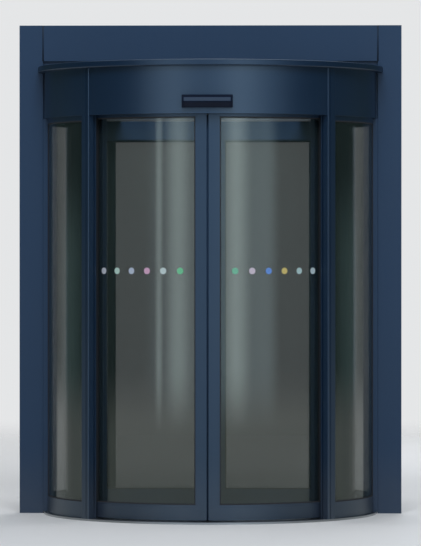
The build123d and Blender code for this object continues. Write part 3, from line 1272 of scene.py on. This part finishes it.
@dataclass(frozen=True)
class Surround:
    """Round wall that only shiny surfaces show.

    It is pale blue in front, dimmer on the left, pale behind and dark at both sides, with a faint
    glow low down there, and plain at its foot. Each streak is a brighter upright band: its bearing
    and half width in degrees, and its strength.
    """

    radius: float = 10.0
    heights: Pair = (-9.0, 14.0)
    steps: int = 96
    sky_left: Triple = (0.24, 0.32, 0.43)
    sky_right: Triple = (0.72, 0.92, 1.16)
    dark: Triple = (0.030, 0.052, 0.052)
    bright: Triple = (1.75, 2.05, 2.40)
    front_edge: Pair = (39.0, 51.0)
    front_shift: float = 2.5
    back_edge: Pair = (150.0, 162.0)
    side_place: float = 111.0
    side_half: float = 22.0
    side_top: Pair = (1.5, 2.4)
    side_light: Triple = (0.20, 0.32, 0.34)
    foot: Triple = (0.50, 0.53, 0.55)
    foot_top: Pair = (0.0, 0.7)
    streaks: tuple[Triple, ...] = ((-22.0, 13.0, 1.04), (19.0, 13.0, 1.28), (172.0, 11.0, 1.15),
                                   (-36.0, 4.0, 0.9))

    def build(self) -> None:
        """Make the wall and keep it out of the picture."""
        turns = [360.0 * step / self.steps for step in range(self.steps)]
        verts, faces = closed_tube([[polar(self.radius, turn, z) for turn in turns]
                                    for z in self.heights])
        wall = mesh_object("surround", verts, faces[:self.steps], self._glow())
        wall.visible_camera = wall.visible_diffuse = wall.visible_shadow = False
        wall.visible_transmission = False

    def _glow(self) -> Material:
        """Light of the wall round its bearings and up its height.

        Returns:
            The material, which gives light.
        """
        paint = Paint("surround")
        turn = paint.bearing() * math.degrees(1.0)
        aside = abs(turn)
        front = abs(turn - self.front_shift).band(*self.front_edge)
        shade = front * (1.0 - aside.band(*self.back_edge))
        near = self.front_edge[0]
        sky = paint.mix(turn.band(-near, near), self.sky_left, self.sky_right)
        colour = paint.mix(shade, sky, self.dark)
        for bearing, half, strength in self.streaks:
            share = 1.0 - abs(turn - bearing).band(0.0, half)
            colour = paint.mix(share, colour, scaled(self.bright, strength))
        beside = 1.0 - abs(aside - self.side_place).band(0.0, self.side_half)
        low = 1.0 - paint.z.band(*self.side_top)
        colour = paint.mix(beside * low, colour, self.side_light)
        colour = paint.mix(paint.z.band(*self.foot_top), self.foot, colour)
        paint.material.cycles.emission_sampling = "NONE"
        return paint.close(paint.node("ShaderNodeEmission", {"Color": colour}))


@dataclass
class Studio:
    """Pale floor, soft light and the camera."""

    eye: Triple = (0.42, -22.8, 1.60)
    aim: Triple = (0.0, 0.0, 1.475)
    view_height: float = 3.36
    floor_half: float = 30.0
    floor_fade: Pair = (4.0, 13.0)
    background: Triple = (0.78, 0.79, 0.80)
    ambient: Triple = (0.30, 0.33, 0.38)
    lamps: tuple[Lamp, ...] = (
        Lamp("sky_front", (0.0, -9.5, 9.5), (0.0, 0.0, 1.3), (5.0, 5.0), 960.0, (0.96, 0.98, 1.0)),
        Lamp("sky_back", (1.5, 8.0, 7.0), (0.0, 0.0, 1.3), (5.0, 5.0), 420.0, (1.0, 0.98, 0.94)),
        Lamp("sky_top", (0.0, 0.5, 9.5), (0.0, 0.0, 2.0), (4.0, 4.0), 160.0, glints=True),
        Lamp("under_ceiling", (0.0, 0.0, 2.416), (0.0, 0.001, 0.0), (1.1, 1.1), 30.0, spread=95.0),
    )
    surround: Surround = Surround()

    def build(self) -> None:
        """Make the floor, the world, the lamps and the camera."""
        self._floor()
        self._world()
        for lamp in self.lamps:
            lamp.build()
        self.surround.build()
        self._camera()

    def _floor(self) -> None:
        """Pale floor that fades into the background far away."""
        paint = Paint("studio_floor")
        far = paint.radius().band(*self.floor_fade)
        shader = paint.node("ShaderNodeBsdfPrincipled", {
            "Base Color": (0.74, 0.745, 0.75), "Roughness": 0.7, "Specular IOR Level": 0.2,
            "Normal": paint.bump(paint.noise(60.0, detail=3.0), distance=0.0004)})
        clear = paint.node("ShaderNodeBsdfTransparent")
        half = self.floor_half
        verts = [(-half, -half, 0), (half, -half, 0), (half, half, 0), (-half, half, 0)]
        mixed = paint.node("ShaderNodeMixShader", {0: far, 1: shader, 2: clear})
        floor = mesh_object("studio_floor", verts, [(0, 1, 2, 3)], paint.close(mixed))
        floor.visible_glossy = False

    def _world(self) -> None:
        """Ambient light, and a plain pale background for the eye, gloss and glass."""
        world = bpy.data.worlds.new("studio")
        bpy.context.scene.world = world
        world.use_nodes = True
        bench = Bench(world.node_tree)
        bench.tree.nodes.clear()
        path = bench.node("ShaderNodeLightPath")
        eye, gloss, glass = (Wire(bench, path.outputs[f"Is {kind} Ray"])
                             for kind in ("Camera", "Glossy", "Transmission"))
        seen = bench.math("MINIMUM", eye + gloss + glass, 1.0)
        light = bench.node("ShaderNodeBackground", {"Color": self.ambient, "Strength": 0.6})
        shown = bench.node("ShaderNodeBackground", {"Color": self.background})
        mixed = bench.node("ShaderNodeMixShader", {0: seen, 1: light, 2: shown})
        bench.node("ShaderNodeOutputWorld", {"Surface": mixed})

    def _camera(self) -> None:
        """Camera at the eye point, with the whole door in view."""
        eye, aim = Vector(self.eye), Vector(self.aim)
        data = bpy.data.cameras.new("camera")
        data.sensor_width = 36.0
        data.lens = data.sensor_width * (aim - eye).length / self.view_height
        data.clip_end = 200.0
        camera = add_object("camera", data)
        point_at(camera, eye, aim)
        bpy.context.scene.camera = camera


def main() -> None:
    """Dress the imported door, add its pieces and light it."""
    logging.basicConfig(level=logging.INFO, format="%(message)s")
    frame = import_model()
    bpy.context.scene.view_settings.view_transform = "Standard"
    Dresser(frame["nodes"]).dress()
    sizes = DrumSizes()
    for assembly in (GlassSeals(sizes), MeetingFins(sizes), HeadJoints(), MarkerDots(sizes),
                     Fixings(sizes), BrushSeals(), SensorWindows(), Studio()):
        assembly.build()
        LOG.info("%s done", type(assembly).__name__)


if __name__ == "__main__":
    main()
